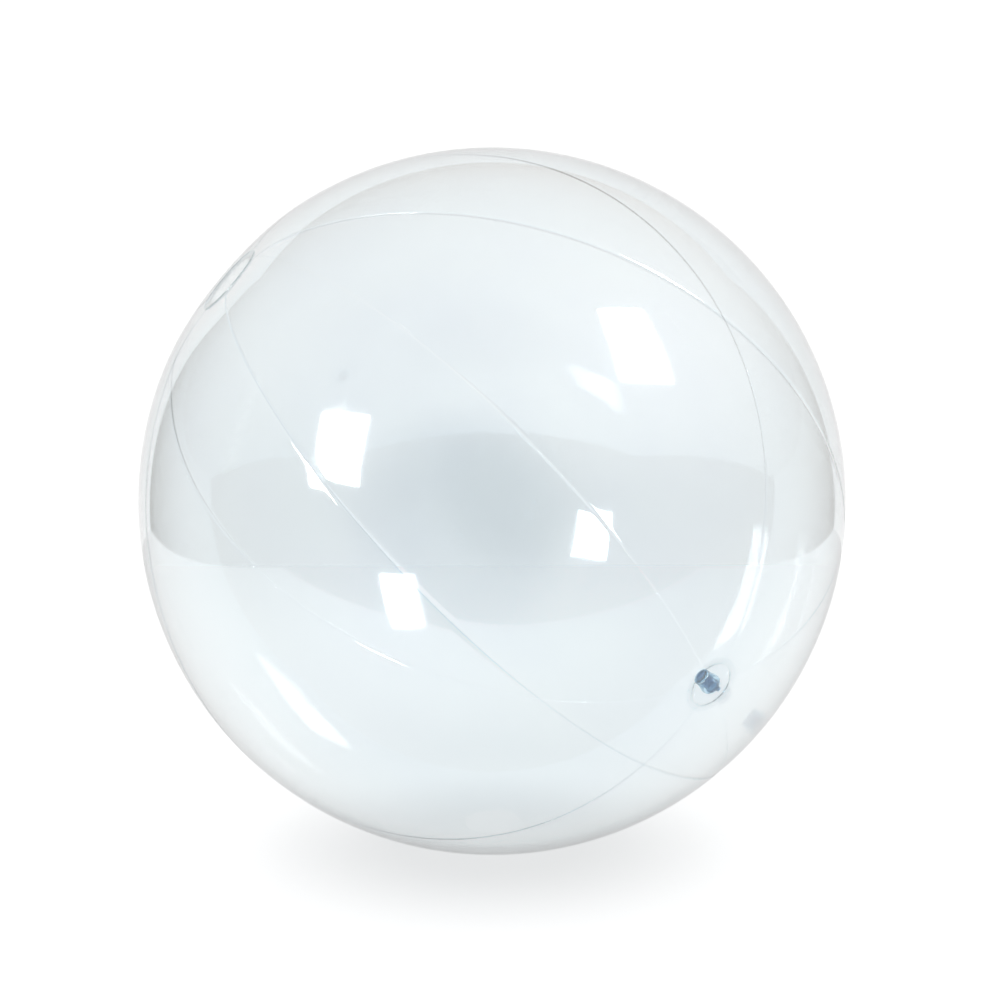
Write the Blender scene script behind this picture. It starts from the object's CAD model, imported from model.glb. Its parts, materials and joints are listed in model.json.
import json
import math

import bmesh
import bpy
from mathutils import Matrix, Vector, noise


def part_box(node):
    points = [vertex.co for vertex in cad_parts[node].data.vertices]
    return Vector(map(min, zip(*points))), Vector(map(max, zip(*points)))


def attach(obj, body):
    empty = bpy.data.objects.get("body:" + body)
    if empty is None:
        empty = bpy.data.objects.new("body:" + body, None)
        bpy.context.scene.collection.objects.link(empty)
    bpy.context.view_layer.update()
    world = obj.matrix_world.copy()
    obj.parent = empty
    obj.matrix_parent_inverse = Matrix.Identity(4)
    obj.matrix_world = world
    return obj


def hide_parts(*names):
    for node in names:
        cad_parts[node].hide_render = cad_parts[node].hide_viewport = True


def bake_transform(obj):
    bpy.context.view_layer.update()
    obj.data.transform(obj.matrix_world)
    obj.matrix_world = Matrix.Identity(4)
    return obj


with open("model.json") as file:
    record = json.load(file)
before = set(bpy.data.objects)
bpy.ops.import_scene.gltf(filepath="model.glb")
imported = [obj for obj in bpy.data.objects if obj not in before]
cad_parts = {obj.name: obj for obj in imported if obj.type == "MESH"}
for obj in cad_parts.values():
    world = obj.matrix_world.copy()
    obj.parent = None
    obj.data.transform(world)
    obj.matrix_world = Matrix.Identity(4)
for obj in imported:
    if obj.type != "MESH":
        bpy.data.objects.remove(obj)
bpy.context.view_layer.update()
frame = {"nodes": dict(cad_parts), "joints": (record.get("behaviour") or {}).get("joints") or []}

mm = 0.001
scene = bpy.context.scene

# The ball's own axes: centre, +Z out through the valve, +X the most downward way
goreNames = sorted(name for name in frame["nodes"] if name.startswith("gore_"))
goreBoxes = [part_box(name) for name in goreNames]
ballRadius = (max(high.x for low, high in goreBoxes) - min(low.x for low, high in goreBoxes)) / 2
ballTop = max(high.z for low, high in goreBoxes)
ballCentre = Vector((0, 0, ballTop - ballRadius))
valvePull = next(j for j in frame["joints"] if j["name"] == "valve_pull")
valveAxis = Vector(valvePull["axis"]).normalized()
if valveAxis.z > 0:
    valveAxis = -valveAxis
downward = (Vector((0, 0, -1)) + valveAxis * valveAxis.z).normalized()
ballFrame = Matrix((downward, valveAxis.cross(downward), valveAxis)).transposed().to_4x4()
ballFrame = Matrix.Translation(ballCentre) @ ballFrame
valveFrame = ballFrame @ Matrix.Rotation(math.radians(90), 4, "Z")  # +X away from the strap
filmOuter = ballRadius / mm  # the film's outer face, from the ball's centre
print("frame: radius", round(filmOuter, 2), "mm, valve axis", tuple(round(a, 3) for a in valveAxis))


def linear(code, alpha=1.0):
    parts = [int(code[i : i + 2], 16) / 255 for i in (1, 3, 5)]
    return [c / 12.92 if c <= 0.04045 else ((c + 0.055) / 1.055) ** 2.4 for c in parts] + [alpha]


def addNode(tree, kind, inputs=None, **settings):
    node = tree.nodes.new(kind)
    for name, value in settings.items():
        setattr(node, name, value)
    for name, value in (inputs or {}).items():
        if isinstance(value, bpy.types.NodeSocket):
            tree.links.new(value, node.inputs[name])
        else:
            node.inputs[name].default_value = value
    return node


def remap(tree, value, ends, results, curve="LINEAR"):
    inputs = {"Value": value, "From Min": ends[0], "From Max": ends[1]}
    inputs.update({"To Min": results[0], "To Max": results[1]})
    return addNode(tree, "ShaderNodeMapRange", inputs, interpolation_type=curve).outputs["Result"]


def mottle(tree, coords, size, detail):
    inputs = {"Vector": coords, "Scale": 1 / (size * mm), "Detail": detail}
    return addNode(tree, "ShaderNodeTexNoise", inputs).outputs["Fac"]


def tintRamp(tree, factor, codes, ends=(0, 1)):
    node = addNode(tree, "ShaderNodeValToRGB", {"Fac": factor})
    for stop, place, code in zip(node.color_ramp.elements, ends, codes):
        stop.position = place
        stop.color = linear(code)
    return node.outputs["Color"]


def bumped(tree, height, strength, depth):
    inputs = {"Height": height, "Strength": strength, "Distance": depth * mm}
    return addNode(tree, "ShaderNodeBump", inputs).outputs["Normal"]


def newMaterial(name):
    material = bpy.data.materials.new(name)
    material.use_nodes = True
    material.node_tree.nodes.clear()
    return material, material.node_tree


# Values of a thin clear sheet. It passes most light and mirrors more the flatter it is seen.
filmLook = {
    "tints": ("#f6f9fb", "#f8fbfc"),  # what each face lets through, a little red taken out
    "edgeTint": "#feffff",  # seen edge on, where light runs along the film
    "cloudSize": 70,  # mm, uneven mixing of the plastic
    "cloudEnds": (0.3, 0.7),
    "mirror": 0.072,  # share mirrored by each face when seen square on
    "grazingMirror": 0.9,  # how much more when seen edge on
    "grazingPower": 5,
    "roughness": (0.05, 0.085),
    "smudgeSize": 25,  # mm
    "smudgeEnds": (0.35, 0.7),
    "waveSize": 45,  # mm, slow waves left by the rollers
    "waveHeight": 0.006,  # mm
}
discLook = dict(filmLook, tints=("#f6f8f9", "#fafbfc"), mirror=0.02, grazingMirror=0.5)
weldLook = dict(
    filmLook, tints=("#d3dde2", "#e6ecf0"), mirror=0.03, grazingMirror=0.12, roughness=(0.08, 0.16)
)
faintWeldLook = dict(weldLook, tints=("#f2f6f8", "#f9fbfb"), grazingMirror=0.05)
rimLook = dict(
    filmLook, tints=("#9fb0b8", "#c3d0d6"), mirror=0.04, grazingMirror=0.3, roughness=(0.06, 0.12)
)
finLook = dict(filmLook, tints=("#fcfdfe", "#fefeff"), mirror=0.01, grazingMirror=0.05)
flangeLook = dict(discLook, tints=("#f3f6f8", "#f8fafb"), mirror=0.03, grazingMirror=0.12)
capLook = dict(
    discLook,
    tints=("#a3c1d3", "#cbdfea"),
    mirror=0.08,
    grazingMirror=0.6,
    roughness=(0.03, 0.08),
    cloudSize=3,
)

# Values of thick clear PVC, injection moulded
mouldLook = {
    "tints": ("#6b9fc0", "#a9cde2"),
    "cloudSize": 3,  # mm
    "ior": 1.53,  # PVC
    "roughness": (0.01, 0.06),
    "grainSize": 0.6,  # mm, spark-eroded mould face
    "grainHeight": 0.0015,  # mm
    "grainStrength": 0.6,
}
webLook = dict(mouldLook, tints=("#9fc4d9", "#d5e7f1"))


def clearSheet(name, look):
    material, tree = newMaterial(name)
    coords = addNode(tree, "ShaderNodeTexCoord").outputs["Object"]
    cloud = mottle(tree, coords, look["cloudSize"], 2)
    tint = tintRamp(tree, cloud, look["tints"], look["cloudEnds"])
    smudge = mottle(tree, coords, look["smudgeSize"], 4)
    polish = remap(tree, smudge, look["smudgeEnds"], look["roughness"])
    wave = bumped(tree, mottle(tree, coords, look["waveSize"], 0), 1, look["waveHeight"])
    view = addNode(tree, "ShaderNodeLayerWeight", {"Blend": 0.5, "Normal": wave})
    facing = view.outputs["Facing"]
    grazing = addNode(
        tree, "ShaderNodeMath", {0: facing, 1: look["grazingPower"]}, operation="POWER"
    )
    share = addNode(
        tree,
        "ShaderNodeMath",
        {0: grazing.outputs[0], 1: look["grazingMirror"], 2: look["mirror"]},
        operation="MULTIPLY_ADD",
    )
    clearing = addNode(
        tree,
        "ShaderNodeMix",
        {"Factor": facing, 6: tint, 7: linear(look["edgeTint"])},
        data_type="RGBA",
    )
    through = addNode(tree, "ShaderNodeBsdfTransparent", {"Color": clearing.outputs[2]})
    mirrored = addNode(tree, "ShaderNodeBsdfAnisotropic", {"Roughness": polish, "Normal": wave})
    mix = addNode(
        tree,
        "ShaderNodeMixShader",
        {0: share.outputs[0], 1: through.outputs[0], 2: mirrored.outputs[0]},
    )
    addNode(tree, "ShaderNodeOutputMaterial", {"Surface": mix.outputs[0]})
    return material


def mouldedPvc(name, look):
    material, tree = newMaterial(name)
    coords = addNode(tree, "ShaderNodeTexCoord").outputs["Object"]
    cloud = mottle(tree, coords, look["cloudSize"], 2)
    grain = mottle(tree, coords, look["grainSize"], 3)
    moulded = addNode(
        tree,
        "ShaderNodeBsdfPrincipled",
        {
            "Base Color": tintRamp(tree, cloud, look["tints"]),
            "Roughness": remap(tree, cloud, (0, 1), look["roughness"]),
            "Normal": bumped(tree, grain, look["grainStrength"], look["grainHeight"]),
            "IOR": look["ior"],
            "Transmission Weight": 1.0,
        },
    )
    addNode(tree, "ShaderNodeOutputMaterial", {"Surface": moulded.outputs[0]})
    return material


# Calendered soft PVC, pulled taut by the air: nearly clear, with sharp mirror images of the lamps
filmPvc = clearSheet("clearPvcFilm", filmLook)
# The end discs lie double on the gores: a faint grey patch with little shine of its own
discPvc = clearSheet("clearPvcDisc", discLook)
# Film fused to film and slightly squashed: a thin grey line that blurs what it mirrors
weldPvc = clearSheet("fusedPvcWeld", weldLook)
# The same weld made cooler, so it hardly shows
faintWeldPvc = clearSheet("fusedPvcWeldFaint", faintWeldLook)
# The fin inside a weld, one film thick and seen through the film: barely a trace
finPvc = clearSheet("clearPvcFin", finLook)
# The bead squeezed out round the plain disc: the darkest outline on the film
rimPvc = clearSheet("fusedPvcRim", rimLook)
# Moulded soft PVC too thick to see straight through: it bends the light and looks dark blue-grey
valvePvc = mouldedPvc("mouldedSoftPvc", mouldLook)
# The flange is thin and flat, so only its edge draws a line
flangePvc = clearSheet("mouldedThinFlange", flangeLook)
# The web's thin wall is lighter than the stem inside it
webPvc = mouldedPvc("mouldedThinWeb", webLook)
# The plug is hollow: a pale blue shell with small highlights
capPvc = clearSheet("mouldedHollowPlug", capLook)
print("materials: done")


def finishPiece(name, bm, place, materials, body, node=None):
    bmesh.ops.transform(bm, matrix=place, verts=bm.verts)
    mesh = bpy.data.meshes.new(name)
    bm.to_mesh(mesh)
    bm.free()
    piece = bpy.data.objects.new(name, mesh)
    scene.collection.objects.link(piece)
    for material in materials:
        mesh.materials.append(material)
    mesh.polygons.foreach_set("use_smooth", [True] * len(mesh.polygons))
    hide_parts(node or name.replace("film_", ""))
    if body:
        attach(piece, body)
    return piece


goreSizes = {
    "firstSeam": -7.9,  # degrees, from the ball's +X
    "poleHole": 12.6,  # mm, where the gores stop short of the axis
    "thickness": 0.25,  # mm
    "fin": 0.6,  # mm, welded edge turned inward
    "fold": 0.22,  # mm, the round where the fin turns in
    "gap": 0.02,  # mm, from the seam's plane
    "patchRadius": 15,  # mm, flat that the ball rests on
    "rows": 200,
    "edgeBand": 6,  # degrees with the closer columns
    "edgeColumns": 9,
    "middleColumns": 36,
    "seamDip": 0.2,  # mm, how far a hard weld pulls the film in
    "faintDip": 0.06,  # mm, the same at the other welds
    "dipReach": 6,  # mm
    "pucker": 0.5,  # how much the pull varies along the weld
    "puckerLength": 11,  # mm
    "puckerSeed": (7.3, 0.5),  # step from weld to weld, and where the pattern starts
    "strongSeams": (5,),  # the welds that show as a hard line
    "poleSink": 3.6,  # mm
    "poleReach": 24,  # mm
}
weldSlot, finSlot, faintSlot = 1, 2, 3  # place in a gore's materials, after the film


def drawInward(bm, sizes, start, span, number):
    firstColumn = math.radians(sizes["edgeBand"]) / sizes["edgeColumns"]
    half = span / 2
    seedStep, seedStart = sizes["puckerSeed"]
    for v in bm.verts:
        around = (math.atan2(v.co.y, v.co.x) - start + half) % (2 * math.pi) - half
        ring = math.hypot(v.co.x, v.co.y)
        side, seam = (1, number) if around < half else (-1, number + 1)
        beside = around if side > 0 else span - around
        foldAngle = sizes["fold"] * mm / ring
        if beside > firstColumn * 0.5:  # the first column is kept as wide as the fold
            stretch = (half - foldAngle) / (half - firstColumn)
            placed = foldAngle + (beside - firstColumn) * stretch
            v.co = Matrix.Rotation(side * (placed - beside), 3, "Z") @ v.co
            beside = placed
            inset = 0
        else:
            inset = sizes["fold"]
        along = math.atan2(ring, v.co.z) * ballRadius / (sizes["puckerLength"] * mm)
        place = (along, seedStep * (seam % len(goreNames)), seedStart)
        pull = 1 + sizes["pucker"] * noise.noise(place)
        strong = (seam - 1) % len(goreNames) in sizes["strongSeams"]
        pull *= sizes["seamDip"] if strong else sizes["faintDip"]
        dip = inset + pull * math.exp(-max(beside, 0) * ring / mm / sizes["dipReach"])
        v.co *= 1 - dip * mm / ballRadius


def sinkPole(bm, sizes):
    for v in bm.verts:  # the stiff plain disc sits lower than the taut film round it
        if v.co.z < 0:
            ring = math.hypot(v.co.x, v.co.y) / mm
            v.co.z += sizes["poleSink"] * mm * math.exp(-((ring / sizes["poleReach"]) ** 2))


def onlyEdges(parts):
    return [part for part in parts if isinstance(part, bmesh.types.BMEdge)]


def goreSheet(number, sizes):
    span = math.radians(360 / len(goreNames))
    start = math.radians(sizes["firstSeam"]) + (number - 1) * span
    poleAngle = math.asin(sizes["poleHole"] * mm / ballRadius)
    slack = sizes["gap"] * mm / ballRadius
    bm = bmesh.new()
    seed = bm.verts.new((math.sin(poleAngle) * ballRadius, 0, math.cos(poleAngle) * ballRadius))
    bmesh.ops.spin(
        bm,
        geom=[seed],
        cent=(0, 0, 0),
        axis=(0, 1, 0),
        angle=math.pi - 2 * poleAngle,
        steps=sizes["rows"],
    )
    turn = Matrix.Rotation(start + slack, 3, "Z")
    bmesh.ops.rotate(bm, verts=bm.verts, cent=(0, 0, 0), matrix=turn)
    firstSide = bm.edges[:]
    lastSide = bm.verts[:] + bm.edges[:]
    edgeBand = math.radians(sizes["edgeBand"])
    bands = (
        (edgeBand, sizes["edgeColumns"]),
        (span - 2 * edgeBand - 2 * slack, sizes["middleColumns"]),
        (edgeBand, sizes["edgeColumns"]),
    )
    for sweep, columns in bands:
        turned = bmesh.ops.spin(
            bm, geom=lastSide, cent=(0, 0, 0), axis=(0, 0, 1), angle=sweep, steps=columns
        )
        lastSide = turned["geom_last"]
    drawInward(bm, sizes, start, span, number)
    for side, seam in ((firstSide, number - 1), (lastSide, number % len(goreNames))):
        for f in {f for e in onlyEdges(side) for f in e.link_faces}:
            f.material_index = weldSlot if seam in sizes["strongSeams"] else faintSlot
    folds = firstSide + onlyEdges(lastSide)
    fins = bmesh.ops.extrude_edge_only(bm, edges=folds)["geom"]
    for f in [part for part in fins if isinstance(part, bmesh.types.BMFace)]:
        f.material_index = finSlot
    finTips = [part for part in fins if isinstance(part, bmesh.types.BMVert)]
    inward = 1 - (sizes["fin"] + sizes["thickness"] - sizes["fold"]) * mm / ballRadius
    bmesh.ops.scale(bm, vec=(inward,) * 3, verts=finTips)
    bmesh.ops.recalc_face_normals(bm, faces=bm.faces)
    middle = max(bm.faces, key=lambda f: f.calc_area())
    if middle.normal.dot(middle.calc_center_median()) < 0:
        bmesh.ops.reverse_faces(bm, faces=bm.faces)
    bmesh.ops.solidify(bm, geom=bm.faces[:], thickness=sizes["thickness"] * mm)
    sinkPole(bm, sizes)
    return bm


def restOnFloor(bm, sizes):
    floorLevel = -math.sqrt(ballRadius**2 - (sizes["patchRadius"] * mm) ** 2)
    down = ballFrame.to_3x3().inverted() @ Vector((0, 0, -1))
    for v in bm.verts:
        depth = v.co.dot(down) + floorLevel
        if v.co.length < ballRadius - 0.5 * sizes["thickness"] * mm:  # inner face
            depth += sizes["thickness"] * mm
        if depth > 0:
            v.co -= down * depth


goreMaterials = [filmPvc, weldPvc, finPvc, faintWeldPvc]
for number in range(1, len(goreNames) + 1):
    bm = goreSheet(number, goreSizes)
    if number == 1:
        restOnFloor(bm, goreSizes)
    finishPiece(f"film_gore_{number}", bm, ballFrame, goreMaterials, "ball")
print("gores: done")


def roundedEdges(bm, edges, width):
    bmesh.ops.bevel(
        bm,
        geom=edges,
        offset=width * mm,
        offset_type="OFFSET",
        affect="EDGES",
        segments=2,
        profile=0.5,
        material=-1,
    )


def turnedPiece(profile, steps=64, edge=0.0, sharp=25):
    bm = bmesh.new()
    points = [bm.verts.new((r * mm, 0, h * mm)) for r, h in profile]
    edges = [bm.edges.new((a, b)) for a, b in zip(points, points[1:])]
    if profile[0][0] or profile[-1][0]:
        edges.append(bm.edges.new((points[-1], points[0])))
    bmesh.ops.spin(
        bm,
        geom=points + edges,
        cent=(0, 0, 0),
        axis=(0, 0, 1),
        angle=2 * math.pi,
        steps=steps,
        use_merge=True,
    )
    bmesh.ops.remove_doubles(bm, verts=bm.verts, dist=0.001 * mm)
    bmesh.ops.recalc_face_normals(bm, faces=bm.faces)
    if edge:
        limit = math.radians(sharp)
        creases = [e for e in bm.edges if e.is_manifold and e.calc_face_angle() > limit]
        roundedEdges(bm, creases, edge)
    return bm


def onBall(r, lift=0.0):
    return (r, math.sqrt((filmOuter + lift) ** 2 - r * r))


def radii(low, high, count):
    return [low + (high - low) * i / (count - 1) for i in range(count)]


discSizes = {
    "radius": 16.7,  # mm
    "thickness": 0.25,
    "lap": 4.1,  # ring that is welded over the gore tips
    "groove": 0.08,  # depth of the line pressed in where the lap starts
    "grooveWidth": 0.3,  # to each side
    "bead": 0.12,  # height of the bead squeezed out at the rim
    "beadWidth": 0.5,
    "holeRadius": 6.4,  # for the valve
    "lift": 0.02,  # clear of the gores
    "steps": 96,
}


def endDisc(sizes, hole):
    rim = sizes["radius"]
    lap = rim - sizes["lap"]
    top = sizes["thickness"]
    crest = top + sizes["bead"]
    pressed = sizes["grooveWidth"]
    outline = [onBall(r, top) for r in radii(hole, lap - pressed, 8)]
    outline += [onBall(lap, top - sizes["groove"]), onBall(lap + pressed, top)]
    outline += [onBall(r, top) for r in radii(lap + 3 * pressed, rim - sizes["beadWidth"], 5)]
    outline += [
        onBall(rim - 0.6 * sizes["beadWidth"], crest),
        onBall(rim - 0.3 * sizes["beadWidth"], crest),
        onBall(rim, top * 0.4),
    ]
    outline += [onBall(r, sizes["lift"]) for r in radii(rim, hole, 16)]
    bm = turnedPiece(outline, steps=sizes["steps"])
    for f in bm.faces:
        if math.hypot(*f.calc_center_median().xy) > (rim - sizes["beadWidth"]) * mm:
            f.material_index = 1
    return bm


bm = endDisc(discSizes, 0)
bmesh.ops.rotate(bm, verts=bm.verts, cent=(0, 0, 0), matrix=Matrix.Rotation(math.pi, 3, "X"))
sinkPole(bm, goreSizes)
finishPiece("film_plain_end_disc", bm, ballFrame, [discPvc, rimPvc], "ball")

bm = endDisc(discSizes, discSizes["holeRadius"])
finishPiece("film_valve_end_disc", bm, ballFrame, [discPvc, faintWeldPvc], "ball")
print("discs: done")

# The valve. Radii are from its axis in mm, heights from the film's outer face, outward in mm.
stemSizes = {
    "end": -8.4,
    "boreRadius": 2.5,
    "radius": 3.6,
    "collarRadius": 4.25,
    "collarHeight": 0.9,
    "rimRadius": 3.9,
    "rimTop": 0.8,
    "rimBand": 0.6,
    "edge": 0.12,  # rounding
    "slack": 0.02,  # clear of the web
    "lugReach": 5.7,
    "lugRoot": 0.3,  # how far the lug runs into the rim
    "lugWidth": 2.4,
    "lugThickness": 0.5,
    "lugEdge": 0.1,
}


def lifted(profile):
    return [(r, h + filmOuter) for r, h in profile]


# Flange: a flat ring with a feathered edge and two weld rings pressed into its inner face
flangeSizes = {
    "radius": 12.25,
    "holeRadius": 5.9,  # where the web starts
    "thickness": 0.9,
    "lift": -0.03,  # clear of the end disc
    "grooveDepth": 0.3,
    "edge": 0.5,  # these four are measured inward from the rim
    "outerRing": 1.3,
    "groove": (1.6, 2.2),
    "innerRing": 2.5,
    "shoulder": 0.8,  # from the hole
    "steps": 96,
}
low = -flangeSizes["thickness"]
pressed = low + flangeSizes["grooveDepth"]
flangeTop = radii(flangeSizes["holeRadius"], flangeSizes["radius"], 8)
outline = [onBall(r, flangeSizes["lift"]) for r in flangeTop]
outline += [
    onBall(flangeSizes["radius"], low * 0.5),
    onBall(flangeSizes["radius"] - flangeSizes["edge"], low),
    onBall(flangeSizes["radius"] - flangeSizes["outerRing"], low),
    onBall(flangeSizes["radius"] - flangeSizes["groove"][0], pressed),
    onBall(flangeSizes["radius"] - flangeSizes["groove"][1], pressed),
    onBall(flangeSizes["radius"] - flangeSizes["innerRing"], low),
    onBall(flangeSizes["holeRadius"] + flangeSizes["shoulder"], low),
    onBall(flangeSizes["holeRadius"], low),
]
bm = turnedPiece(outline, steps=flangeSizes["steps"])
finishPiece(
    "moulded_valve_flange", bm, valveFrame, [flangePvc], "ball", "valve_flange"
)

# Web: the thin cone that rolls when the stem is pulled out
webSizes = {
    "top": -0.2,
    "topRadius": flangeSizes["holeRadius"],
    "wall": 0.4,
    "slack": 0.02,  # clear of the stem's collar
    "shape": ((0, -0.7), (-0.12, -1.4), (-0.42, -2.8)),  # radius and height from the top
    "waist": (0.62, -4.6),  # from the collar's radius and the top
    "foot": (0.45, 2.0),  # from the collar's radius and the stem's end
    "blend": (-0.7, 1.0),  # where the rolling starts and ends, from the top and the stem's end
}
collar = stemSizes["collarRadius"]
outside = [(webSizes["topRadius"], webSizes["top"])]
outside += [(webSizes["topRadius"] + r, webSizes["top"] + h) for r, h in webSizes["shape"]]
outside += [
    (collar + webSizes["waist"][0], webSizes["top"] + webSizes["waist"][1]),
    (collar + webSizes["foot"][0], stemSizes["end"] + webSizes["foot"][1]),
    (collar + webSizes["wall"], stemSizes["end"] + webSizes["blend"][1]),
    (collar + webSizes["wall"], stemSizes["end"]),
]
inside = [(max(r - webSizes["wall"], collar + webSizes["slack"]), h) for r, h in reversed(outside)]
bm = turnedPiece(lifted(outside + inside))
web = finishPiece(
    "moulded_valve_web", bm, valveFrame, [webPvc], None, "valve_web"
)
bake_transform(web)

# Stem: collar inside, rim outside, and the lug that the strap bends at
collarSide = stemSizes["collarRadius"] - stemSizes["slack"]
collarTop = stemSizes["end"] + stemSizes["collarHeight"]
rimBase = stemSizes["rimTop"] - stemSizes["rimBand"]
outline = [
    (stemSizes["boreRadius"], stemSizes["rimTop"]),
    (stemSizes["boreRadius"], stemSizes["end"]),
    (collarSide, stemSizes["end"]),
    (collarSide, collarTop),
    (stemSizes["radius"], collarTop),
    (stemSizes["radius"], rimBase),
    (stemSizes["rimRadius"], rimBase),
    (stemSizes["rimRadius"], stemSizes["rimTop"]),
]
bm = turnedPiece(lifted(outline), edge=stemSizes["edge"])
lug = bmesh.ops.create_cube(bm, size=1)["verts"]
lugStart = stemSizes["rimRadius"] - stemSizes["lugRoot"]
lugHeight = filmOuter + stemSizes["rimTop"] - stemSizes["lugThickness"] / 2
lugMiddle = (-(stemSizes["lugReach"] + lugStart) / 2, 0, lugHeight)
lugSpan = (stemSizes["lugReach"] - lugStart, stemSizes["lugWidth"], stemSizes["lugThickness"])
bmesh.ops.scale(bm, vec=Vector(lugSpan) * mm, verts=lug)
bmesh.ops.translate(bm, vec=Vector(lugMiddle) * mm, verts=lug)
roundedEdges(bm, list({e for p in lug for e in p.link_edges}), stemSizes["lugEdge"])
finishPiece(
    "moulded_valve_stem", bm, valveFrame, [valvePvc], "stem", "valve_stem"
)

# Plug: a domed head with a tapered stopper
plugSizes = {
    "clearance": 0.05,  # above the stem's rim
    "headRadius": 4.4,
    "headHeight": 1.1,
    "dome": ((-1.98, -0.03), (-0.88, -0.12), (-0.12, -0.35), (0, -0.55)),  # from the top corner
    "headEdge": 0.15,
    "topRadius": 2.4,
    "bulge": ((-0.1, -0.5), (0.03, -0.9), (-0.15, -1.3)),  # from the stopper's top corner
    "tipRadius": 1.5,
    "tip": ((0.1, 0.15), (-0.2, 0)),  # from the tip's corner
    "length": 3.2,
}
headBase = stemSizes["rimTop"] + plugSizes["clearance"]
headTop = headBase + plugSizes["headHeight"]
outline = [(0, headTop)]
outline += [(plugSizes["headRadius"] + r, headTop + h) for r, h in plugSizes["dome"]]
outline += [
    (plugSizes["headRadius"], headBase + plugSizes["headEdge"]),
    (plugSizes["headRadius"] - plugSizes["headEdge"], headBase),
    (plugSizes["topRadius"], headBase),
]
outline += [(plugSizes["topRadius"] + r, headBase + h) for r, h in plugSizes["bulge"]]
plugEnd = headBase - plugSizes["length"]
outline += [(plugSizes["tipRadius"] + r, plugEnd + h) for r, h in plugSizes["tip"]]
outline += [(0, plugEnd)]
bm = turnedPiece(lifted(outline))
finishPiece(
    "moulded_valve_plug", bm, valveFrame, [capPvc], "plug", "valve_plug"
)

# Strap: from the lug's edge to the plug's head
strapSizes = {"reach": 6.5, "root": 0.25, "width": 2.4, "thickness": 0.5}
strapStart = plugSizes["headRadius"] - strapSizes["root"]  # inside the head's edge
strapHeight = filmOuter + headBase + strapSizes["thickness"]
strapMiddle = (-(strapSizes["reach"] + strapStart) / 2, 0, strapHeight)
bm = bmesh.new()
strap = bmesh.ops.create_grid(bm, x_segments=12, y_segments=4, size=0.5)["verts"]
strapSpan = (strapSizes["reach"] - strapStart, strapSizes["width"], 1)
bmesh.ops.scale(bm, vec=Vector(strapSpan) * mm, verts=strap)
bmesh.ops.translate(bm, vec=Vector(strapMiddle) * mm, verts=strap)
bmesh.ops.recalc_face_normals(bm, faces=bm.faces)
if bm.faces[:][0].normal.z < 0:
    bmesh.ops.reverse_faces(bm, faces=bm.faces)
bmesh.ops.solidify(bm, geom=bm.faces[:], thickness=strapSizes["thickness"] * mm)
finishPiece(
    "moulded_plug_strap", bm, valveFrame, [valvePvc], "plug", "plug_strap"
)

# Check flap: a thin disc that closes the stem's inner end
flapSizes = {
    "clearance": 0.05,  # below the stem's end
    "radius": 3.7,
    "thickness": 0.3,
    "edge": 0.1,
    "dish": (0.75, 0.7, 0.08),  # where its hollow starts and ends, and how deep it is
}
flapTop = stemSizes["end"] - flapSizes["clearance"]
flapLow = flapTop - flapSizes["thickness"]
dishStart, dishEnd, dishDepth = flapSizes["dish"]
outline = [
    (0, flapTop),
    (flapSizes["radius"] - flapSizes["edge"], flapTop),
    (flapSizes["radius"], flapTop - flapSizes["edge"]),
    (flapSizes["radius"], flapLow + flapSizes["edge"] / 2),
    (flapSizes["radius"] - flapSizes["edge"] / 2, flapLow),
    (flapSizes["radius"] * dishStart, flapLow),
    (flapSizes["radius"] * dishEnd, flapLow + dishDepth),
    (0, flapLow + dishDepth),
]
bm = turnedPiece(lifted(outline))
finishPiece(
    "moulded_check_flap", bm, valveFrame, [valvePvc], "flap", "check_flap"
)
print("valve: done")


stageSizes = {
    "front": -0.45,  # m
    "back": 0.58,
    "side": 0.76,
    "height": 0.80,
    "albedo": "#f2f2f2",
    "fibres": 900,  # per metre
    "fibreHeight": 0.1,  # mm
    "fibreStrength": 0.1,
    "glow": (0.66, 0.90),  # the paper's own brightness, under the ball and away from it
    "dimCentre": (0, 0.025, 0),  # m, how far the dim patch is moved to the front
    "dimStretch": (0.72, 1, 1),  # makes it wider than deep
    "dimEnds": (0.025, 0.1),  # m, where it starts to brighten and where it ends
    "wallGlow": 0.8,
}


# White paper, evenly matt. Its own glow keeps it white however the lamps fall.
def paper(name, look, near, far):
    material, tree = newMaterial(name)
    coords = addNode(tree, "ShaderNodeTexCoord").outputs["Object"]
    inputs = {"Vector": coords, "Scale": look["fibres"], "Detail": 2}
    fibre = addNode(tree, "ShaderNodeTexNoise", inputs).outputs["Fac"]
    fibre = bumped(tree, fibre, look["fibreStrength"], look["fibreHeight"])
    matte = addNode(
        tree, "ShaderNodeBsdfDiffuse", {"Color": linear(look["albedo"]), "Normal": fibre}
    )
    moved = addNode(
        tree,
        "ShaderNodeVectorMath",
        {0: coords, 1: look["dimStretch"], 2: look["dimCentre"]},
        operation="MULTIPLY_ADD",
    )
    apart = addNode(tree, "ShaderNodeVectorMath", {0: moved.outputs[0]}, operation="LENGTH")
    bright = remap(tree, apart.outputs["Value"], look["dimEnds"], (near, far), "SMOOTHSTEP")
    glow = addNode(tree, "ShaderNodeEmission", {"Strength": bright})
    both = addNode(tree, "ShaderNodeAddShader", {0: matte.outputs[0], 1: glow.outputs[0]})
    addNode(tree, "ShaderNodeOutputMaterial", {"Surface": both.outputs[0]})
    return material


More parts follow.
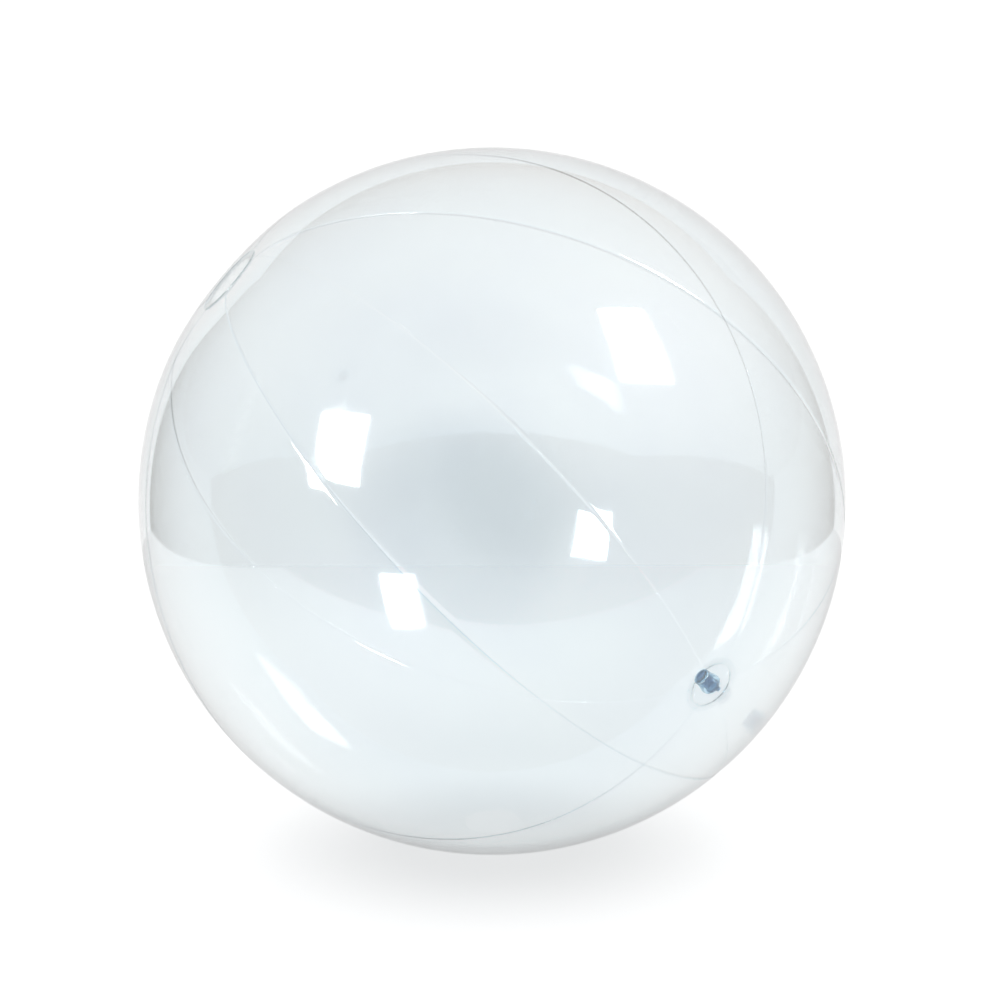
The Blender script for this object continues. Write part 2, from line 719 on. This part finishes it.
def paperSheet(name, width, length, tilt, middle, material):
    bm = bmesh.new()
    corners = bmesh.ops.create_grid(bm, x_segments=1, y_segments=1, size=0.5)["verts"]
    bmesh.ops.scale(bm, vec=(width, length, 1), verts=corners)
    turn = Matrix.Rotation(tilt, 3, "X")
    bmesh.ops.rotate(bm, verts=corners, cent=(0, 0, 0), matrix=turn)
    bmesh.ops.translate(bm, vec=middle, verts=corners)
    mesh = bpy.data.meshes.new(name)
    bm.to_mesh(mesh)
    bm.free()
    sheet = bpy.data.objects.new(name, mesh)
    scene.collection.objects.link(sheet)
    mesh.materials.append(material)
    return sheet


floorPiece = paperSheet(
    "floor",
    2 * stageSizes["side"],
    stageSizes["back"] - stageSizes["front"],
    0,
    (0, (stageSizes["back"] + stageSizes["front"]) / 2, 0),
    paper("matteWhitePaper", stageSizes, *stageSizes["glow"]),
)
# The back of the sweep only shows in the film's reflections
backdrop = paperSheet(
    "backdrop",
    2 * stageSizes["side"],
    stageSizes["height"],
    math.pi / 2,
    (0, stageSizes["back"], stageSizes["height"] / 2),
    paper("matteWhiteBackdrop", stageSizes, stageSizes["wallGlow"], stageSizes["wallGlow"]),
)
backdrop.visible_camera = False
backdrop.visible_diffuse = False

softboxes = {  # metres; radiance is what the film mirrors, in W per square metre and steradian
    "leftSoftbox": {
        "place": (-0.568, -0.571, 0.456),
        "across": (0.866, -0.499, -0.022),
        "up": (0.241, 0.379, 0.894),
        "size": (0.211, 0.267),
        "radiance": 36,
        "mirrored": True,
    },
    "rightSoftbox": {
        "place": (0.375, -0.266, 0.642),
        "across": (0.757, 0.612, -0.228),
        "up": (-0.052, 0.405, 0.913),
        "size": (0.155, 0.267),
        "radiance": 27,
        "mirrored": True,
    },
    "overheadSoftbox": {
        "place": (0.0, 0.1, 1.4),
        "across": (1, 0, 0),
        "up": (0, 1, 0),
        "size": (1.8, 1.8),
        "radiance": 0.7,
        "mirrored": False,
    },
}
for name, box in softboxes.items():
    lamp = bpy.data.lights.new(name, "AREA")
    lamp.shape = "RECTANGLE"
    lamp.size, lamp.size_y = box["size"]
    lamp.energy = box["radiance"] * math.pi * lamp.size * lamp.size_y
    light = bpy.data.objects.new(name, lamp)
    scene.collection.objects.link(light)
    across, up = Vector(box["across"]).normalized(), Vector(box["up"]).normalized()
    turn = Matrix((across, up, across.cross(up))).transposed().to_4x4()
    light.matrix_world = Matrix.Translation(Vector(box["place"])) @ turn
    light.visible_camera = False
    light.visible_glossy = box["mirrored"]
    light.visible_diffuse = not box["mirrored"]

# The room: white where the camera looks straight at it, and dimmer in the film's reflections,
# darkest low down in front where the camera stands
roomLook = {
    "colour": "#fff3eb",
    "seen": 1.08,  # brightness that the camera sees, the same as the floor's far edge
    "height": ((0.0, 0.75), (0.5, 1.2)),  # upward part of the direction, then brightness there
    "back": ((-0.3, 0.6), (1, 0.55)),
    "side": ((-0.9, 0.9), (0.85, 1.6)),
    "darkTowards": (-0.17, -0.984, 0.05),
    "dark": ((0.78, 0.98), (1, 0)),
}
world = bpy.data.worlds.new("studioRoom")
world.use_nodes = True
scene.world = world
world.cycles_visibility.diffuse = False  # the floor is lit by the softboxes alone
tree = world.node_tree
tree.nodes.clear()
direction = addNode(tree, "ShaderNodeTexCoord").outputs["Generated"]
parts = addNode(tree, "ShaderNodeSeparateXYZ", {0: direction})
towards = addNode(
    tree,
    "ShaderNodeVectorMath",
    {0: direction, 1: roomLook["darkTowards"]},
    operation="DOT_PRODUCT",
)
dim = remap(tree, parts.outputs["Z"], *roomLook["height"], "SMOOTHSTEP")
for socket, key in (
    (parts.outputs["Y"], "back"),
    (parts.outputs["X"], "side"),
    (towards.outputs["Value"], "dark"),
):
    factor = remap(tree, socket, *roomLook[key], "SMOOTHSTEP")
    dim = addNode(tree, "ShaderNodeMath", {0: dim, 1: factor}, operation="MULTIPLY").outputs[0]
reflectedRoom = addNode(
    tree, "ShaderNodeBackground", {"Color": linear(roomLook["colour"]), "Strength": dim}
)
seenRoom = addNode(
    tree, "ShaderNodeBackground", {"Color": (1, 1, 1, 1), "Strength": roomLook["seen"]}
)
rays = addNode(tree, "ShaderNodeLightPath")
both = addNode(
    tree,
    "ShaderNodeMixShader",
    {0: rays.outputs["Is Camera Ray"], 1: reflectedRoom.outputs[0], 2: seenRoom.outputs[0]},
)
addNode(tree, "ShaderNodeOutputWorld", {"Surface": both.outputs[0]})
print("stage: done")

cameraSizes = {
    "distance": 3.8,  # ball radii
    "pitch": 10,  # degrees down
    "lens": 46.7,  # mm, on a sensor 36 mm wide
    "sensor": 36,
    "aim": (0.0036, 0, 0.0005),  # m, from the ball's centre
    "clip": (0.01, 20),  # m
}
pitch = math.radians(cameraSizes["pitch"])
away = Vector((0, -math.cos(pitch), math.sin(pitch)))
cameraData = bpy.data.cameras.new("camera")
cameraData.lens = cameraSizes["lens"]
cameraData.sensor_width = cameraSizes["sensor"]
cameraData.clip_start, cameraData.clip_end = cameraSizes["clip"]
camera = bpy.data.objects.new("camera", cameraData)
scene.collection.objects.link(camera)
camera.location = ballCentre + away * cameraSizes["distance"] * ballRadius
aim = ballCentre + Vector(cameraSizes["aim"])
camera.rotation_mode = "QUATERNION"
camera.rotation_quaternion = (aim - camera.location).to_track_quat("-Z", "Y")
scene.camera = camera

scene.view_settings.view_transform = "Standard"
scene.view_settings.look = "None"
scene.cycles.max_bounces = 16
scene.cycles.glossy_bounces = 8
scene.cycles.transmission_bounces = 12
scene.cycles.transparent_max_bounces = 32
scene.cycles.diffuse_bounces = 3
scene.cycles.caustics_reflective = False
scene.cycles.caustics_refractive = False
scene.cycles.use_denoising = True
scene.cycles.sample_clamp_indirect = 0
